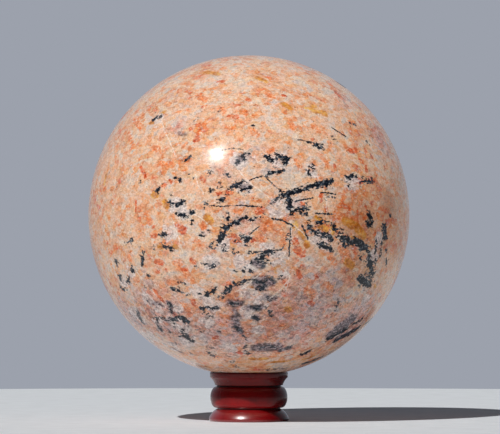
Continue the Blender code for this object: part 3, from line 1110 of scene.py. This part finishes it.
def stand_profile(s):
    """The stand's half profile as rows of (r, z), from the dish over the rim and down to the base.

    Rows on the axis are left out, because turned() closes both ends."""
    top = STAND_HIGH.z
    foot = STAND_HIGH.x
    dish = BALL_RADIUS + s.gap
    seat_angle = math.degrees(math.asin(s.seat / dish))
    centre = top + math.sqrt(dish**2 - s.seat**2)
    bead_top = s.bead_middle + s.bead_half
    bead_bottom = s.bead_middle - s.bead_half
    edge_reach = (s.foot_rounding, s.foot_edge)
    edge = arc((foot - s.foot_rounding, s.foot_edge), edge_reach, FOOT_ROUND_START, -90, 14)
    rim_centre = (s.rim - RIM_ROUNDING, top - RIM_ROUNDING)
    parts = [
        arc((0.0, centre), (dish, dish), -90, -90 + seat_angle, 14),
        arc(rim_centre, (RIM_ROUNDING, RIM_ROUNDING), 90, 0, 6),
        bowed((s.rim, s.lip), (s.flare_foot, s.flare_height), -FLARE_BOW, 14),
        [(s.upper_groove, s.flare_height - GROOVE_WALL), (s.upper_groove, bead_top + GROOVE_WALL)],
        arc((s.bead, s.bead_middle), (s.bead_reach, s.bead_half), 90, -90, 44),
        [(s.lower_groove, bead_bottom - GROOVE_WALL), (s.lower_groove, s.slope_height + GROOVE_WALL)],
        bowed((s.slope_radius, s.slope_height), edge[0], SLOPE_BOW, 20)[:-1],
        edge,
    ]
    profile = np.concatenate(parts)
    return profile[profile[:, 0] > 0.01 * MM]


def turned(profile, steps):
    """Points and faces of a profile turned once round Z: (r cos a, r sin a, z).

    A point on the axis closes each end, the first DISH_DIP below its ring."""
    angles = np.linspace(0, math.tau, steps, endpoint=False)
    radii, heights = profile[:, :1], np.repeat(profile[:, 1:], steps, axis=1)
    rings = np.stack([radii * np.cos(angles), radii * np.sin(angles), heights], axis=-1).reshape(-1, 3)
    points = np.concatenate([rings, [(0, 0, profile[0, 1] - DISH_DIP), (0, 0, profile[-1, 1])]])
    ring = np.arange(steps)
    after = np.roll(ring, -1)
    starts = np.arange(len(profile) - 1)[:, None] * steps
    corners = [starts + ring, starts + steps + ring, starts + steps + after, starts + after]
    sides = np.stack(corners, axis=-1).reshape(-1, 4)
    dish_end = np.column_stack([ring, after, np.full(steps, len(rings))])
    base_row = (len(profile) - 1) * steps
    base_end = np.column_stack([base_row + after, base_row + ring, np.full(steps, len(rings) + 1)])
    return points, sides.tolist() + dish_end.tolist() + base_end.tolist()


def edge_shares(profile, reach=3):
    """How far each profile point stands out from, or sinks in between, the points reach rows away."""
    padded = np.pad(profile, ((reach, reach), (0, 0)), mode="edge")
    middle = (padded[: -2 * reach] + padded[2 * reach :]) / 2
    away = (profile[:, 0] - middle[:, 0]) / WORN_DEPTH
    return np.clip(away, 0, 1), np.clip(-away, 0, 1)


def lacquer_material(settings):
    """Dark red lacquer over fine upright grain, thin on the turned edges, with painted shade in the
    grooves, under the ball and on its right side.

    Only the foot has a strong coat, where the key light's highlight shows."""
    bench = Bench(bpy.data.materials.new("red_lacquered_wood"))
    place = bench.node("ShaderNodeTexCoord", output="Object")
    inputs = {"Vector": bench.strayed(place, 9 * MM, 0.4 * MM), "Scale": (1.0, 1.0, 0.12)}
    stretched = bench.node("ShaderNodeMapping", {}, inputs)
    grain = bench.noise(stretched, 1.1 * MM, 4.0, 0.6)
    pores = bench.cells(stretched, 0.8 * MM)
    blotch = bench.noise(place, 11 * MM, 2.0)
    x = bench.node("ShaderNodeSeparateXYZ", {}, {0: place})
    foot = x.of("Z").fall(8.6 * MM, 12 * MM)
    groove = bench.attribute("groove")
    wood = settings.lacquer
    for share, tint in (
        (grain.rise(0.42, 0.72) * 0.35, settings.shade),
        (blotch.rise(0.45, 0.75) * 0.35, settings.shade),
        (bench.attribute("worn") * grain.fall(0.4, 0.7) * 0.6, settings.worn),
        # Painted shade: dark in the grooves, along the lip's top under the ball and over the bead's
        # upper part
        (groove * 0.92, colour(24, 6, 6)),
        # Painted shade on the stand's +x side, which lies in the ball's shadow
        (x.rise(8 * MM, 24 * MM) * 0.7, colour(30, 5, 6)),
        (foot * 0.4, colour(70, 4, 6)),
    ):
        wood = bench.mix(share, wood, tint)
    height = 0.6 * grain + 0.4 * pores.rise(0.0, 0.3)
    surface = {
        "Base Color": wood,
        "Roughness": settings.gloss + 0.08 * blotch.rise(0.5, 0.8) + 0.2 * groove,
        "IOR": 1.5,
        "Specular IOR Level": 0.2,
        "Coat Weight": 0.05 + 0.95 * foot * x.fall(2 * MM, 18 * MM),
        "Coat Roughness": 0.3,
        "Coat IOR": 1.7,
        "Normal": bench.bump(0.12, 0.03 * MM, height),
    }
    bench.feed_all("Principled BSDF", surface)
    return bench.owner


class SUNSTONE_OT_stand(bpy.types.Operator):
    """Turn the three-tiered stand"""

    bl_idname = "sunstone.stand"
    bl_label = "Turn the Stand"

    def execute(self, context):
        settings = context.scene.sunstone_stand
        profile = stand_profile(settings)
        stand = mesh_object("stand", *turned(profile, settings.steps))
        worn, groove = edge_shares(profile)
        height = profile[:, 1]
        # Painted shadow of the ball along the lip's top, and painted shade of the ball over the bead's
        # upper part, both darken the stand through the groove field
        painted_rim_shadow = np.clip((height - STAND_HIGH.z) / RIM_SHADE + 1, 0, 1)
        painted_ball_shade = np.clip((height - settings.bead_middle + BALL_SHADE_START) / BALL_SHADE_RISE, 0, 1)
        groove = np.maximum(np.maximum(groove, painted_rim_shadow), 0.5 * painted_ball_shade)
        for name, shares in (("worn", worn), ("groove", groove)):
            set_attribute(stand, name, np.append(np.repeat(shares, settings.steps), [0.0, 0.0]))
        stand.data.materials.append(lacquer_material(settings))
        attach(stand, "root")
        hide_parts("wooden_stand")
        return {"FINISHED"}


def table_material(settings):
    """A pale matt top with faint soft clouds."""
    bench = Bench(bpy.data.materials.new("pale_table"))
    cloud = bench.noise(bench.node("ShaderNodeTexCoord", output="Object"), 0.02, 3.0)
    darker = [0.94 * value for value in settings.table]
    shade = bench.mix(cloud.rise(0.3, 0.7), settings.table, darker)
    bench.feed_all("Principled BSDF", {"Base Color": shade, "Roughness": 0.7})
    return bench.owner


def make_table(settings):
    """A flat round table top: rings of quads whose radii grow evenly, closed at the centre by a fan."""
    steps, rings = 160, 12
    radii = np.linspace(0, settings.table_radius, rings + 1)[1:]
    profile = np.column_stack([radii[::-1], np.full(rings, STAND_LOW.z)])
    profile = np.vstack([profile, profile[-1:] * (0.5, 1)])
    points, faces = turned(profile, steps)
    upward = [face[::-1] for face in faces if len(points) - 2 not in face]
    table = mesh_object("table_top", points, upward)
    table.data.materials.append(table_material(settings))


def make_light(name, kind, offset, power, tint):
    """A light at an offset from the ball's centre that shines on it."""
    light = bpy.data.lights.new(name, kind)
    light.energy = power
    light.color = tint
    made = bpy.data.objects.new(name, light)
    made.location = BALL_CENTRE + offset
    made.rotation_euler = (-offset).to_track_quat("-Z", "Y").to_euler()
    made.visible_camera = False
    bpy.context.scene.collection.objects.link(made)
    return made


def make_fill(name, offset, power):
    """A soft fill that lights the stone alone, so that the shadow on the table stays clear."""
    fill = make_light(name, "AREA", offset, power, (0.96, 0.98, 1))
    fill.data.shape = "DISK"
    fill.data.size = FILL_WIDTH
    fill.visible_glossy = False
    lit = bpy.data.collections.new(name + "_receivers")
    lit.objects.link(bpy.data.objects["sunstone"])
    fill.light_linking.receiver_collection = lit


def make_world(settings):
    """An even wall colour all round.

    It lights the object at a share of its strength. In gloss it is dim on the camera's side
    and full behind the table."""
    world = bpy.data.worlds.new("studio")
    bpy.context.scene.world = world
    bench = Bench(world)
    path = bench.node("ShaderNodeLightPath")
    way = bench.node("ShaderNodeSeparateXYZ", {}, {0: bench.node("ShaderNodeTexCoord")}).of("Y")
    glossy = path.of("Is Glossy Ray") * way.rise(-0.3, 0.8).lift(0.1)
    strength = path + glossy + path.of("Is Diffuse Ray") * settings.ambient
    bench.feed_all("Background", {"Color": settings.wall, "Strength": strength})


def make_camera():
    """The camera that camera_turn() works out."""
    place, focal, turn = camera_turn()
    camera = bpy.data.cameras.new("camera")
    camera.sensor_width = SENSOR
    camera.lens = focal * SENSOR / PICTURE_WIDTH
    camera.clip_end = 50.0
    made = bpy.data.objects.new("camera", camera)
    made.location = place
    made.rotation_euler = turn
    bpy.context.scene.collection.objects.link(made)
    bpy.context.scene.camera = made


class SUNSTONE_OT_studio(bpy.types.Operator):
    """Make the table top, the lights, the wall and the camera"""

    bl_idname = "sunstone.studio"
    bl_label = "Make the Studio"

    def execute(self, context):
        settings = context.scene.sunstone_studio
        make_table(settings)
        key = make_light("key", "SUN", KEY_PLACE, settings.key_power, (1, 0.985, 0.96))
        key.data.angle = settings.key_angle
        make_fill("side_fill", SIDE_FILL_PLACE, settings.side_power)
        make_fill("rear_fill", REAR_FILL_PLACE, settings.rear_power)
        make_world(settings)
        make_camera()
        context.scene.view_settings.view_transform = "Standard"
        return {"FINISHED"}


class SUNSTONE_PT_panel(bpy.types.Panel):
    """The sidebar's list of pieces and their settings"""

    bl_label = "Sunstone"
    bl_idname = "SUNSTONE_PT_panel"
    bl_space_type = "VIEW_3D"
    bl_region_type = "UI"
    bl_category = "Sunstone"

    def draw(self, context):
        """Each piece's button above its settings."""
        scene = context.scene
        groups = [
            (SUNSTONE_OT_ball, scene.sunstone_stone),
            (SUNSTONE_OT_stand, scene.sunstone_stand),
            (SUNSTONE_OT_studio, scene.sunstone_studio),
        ]
        for operator, settings in groups:
            box = self.layout.box()
            box.operator(operator.bl_idname)
            for name in settings.__annotations__:
                box.prop(settings, name)


CLASSES = (
    StoneSettings,
    StandSettings,
    StudioSettings,
    SUNSTONE_OT_ball,
    SUNSTONE_OT_stand,
    SUNSTONE_OT_studio,
    SUNSTONE_PT_panel,
)


def register():
    for one in CLASSES:
        bpy.utils.register_class(one)
    bpy.types.Scene.sunstone_stone = PointerProperty(type=StoneSettings)
    bpy.types.Scene.sunstone_stand = PointerProperty(type=StandSettings)
    bpy.types.Scene.sunstone_studio = PointerProperty(type=StudioSettings)


def unregister():
    del bpy.types.Scene.sunstone_stone
    del bpy.types.Scene.sunstone_stand
    del bpy.types.Scene.sunstone_studio
    for one in reversed(CLASSES):
        bpy.utils.unregister_class(one)


def main():
    """Makes every piece and the stage."""
    register()
    bpy.ops.sunstone.ball()
    bpy.ops.sunstone.stand()
    bpy.ops.sunstone.studio()


if __name__ == "__main__":
    main()
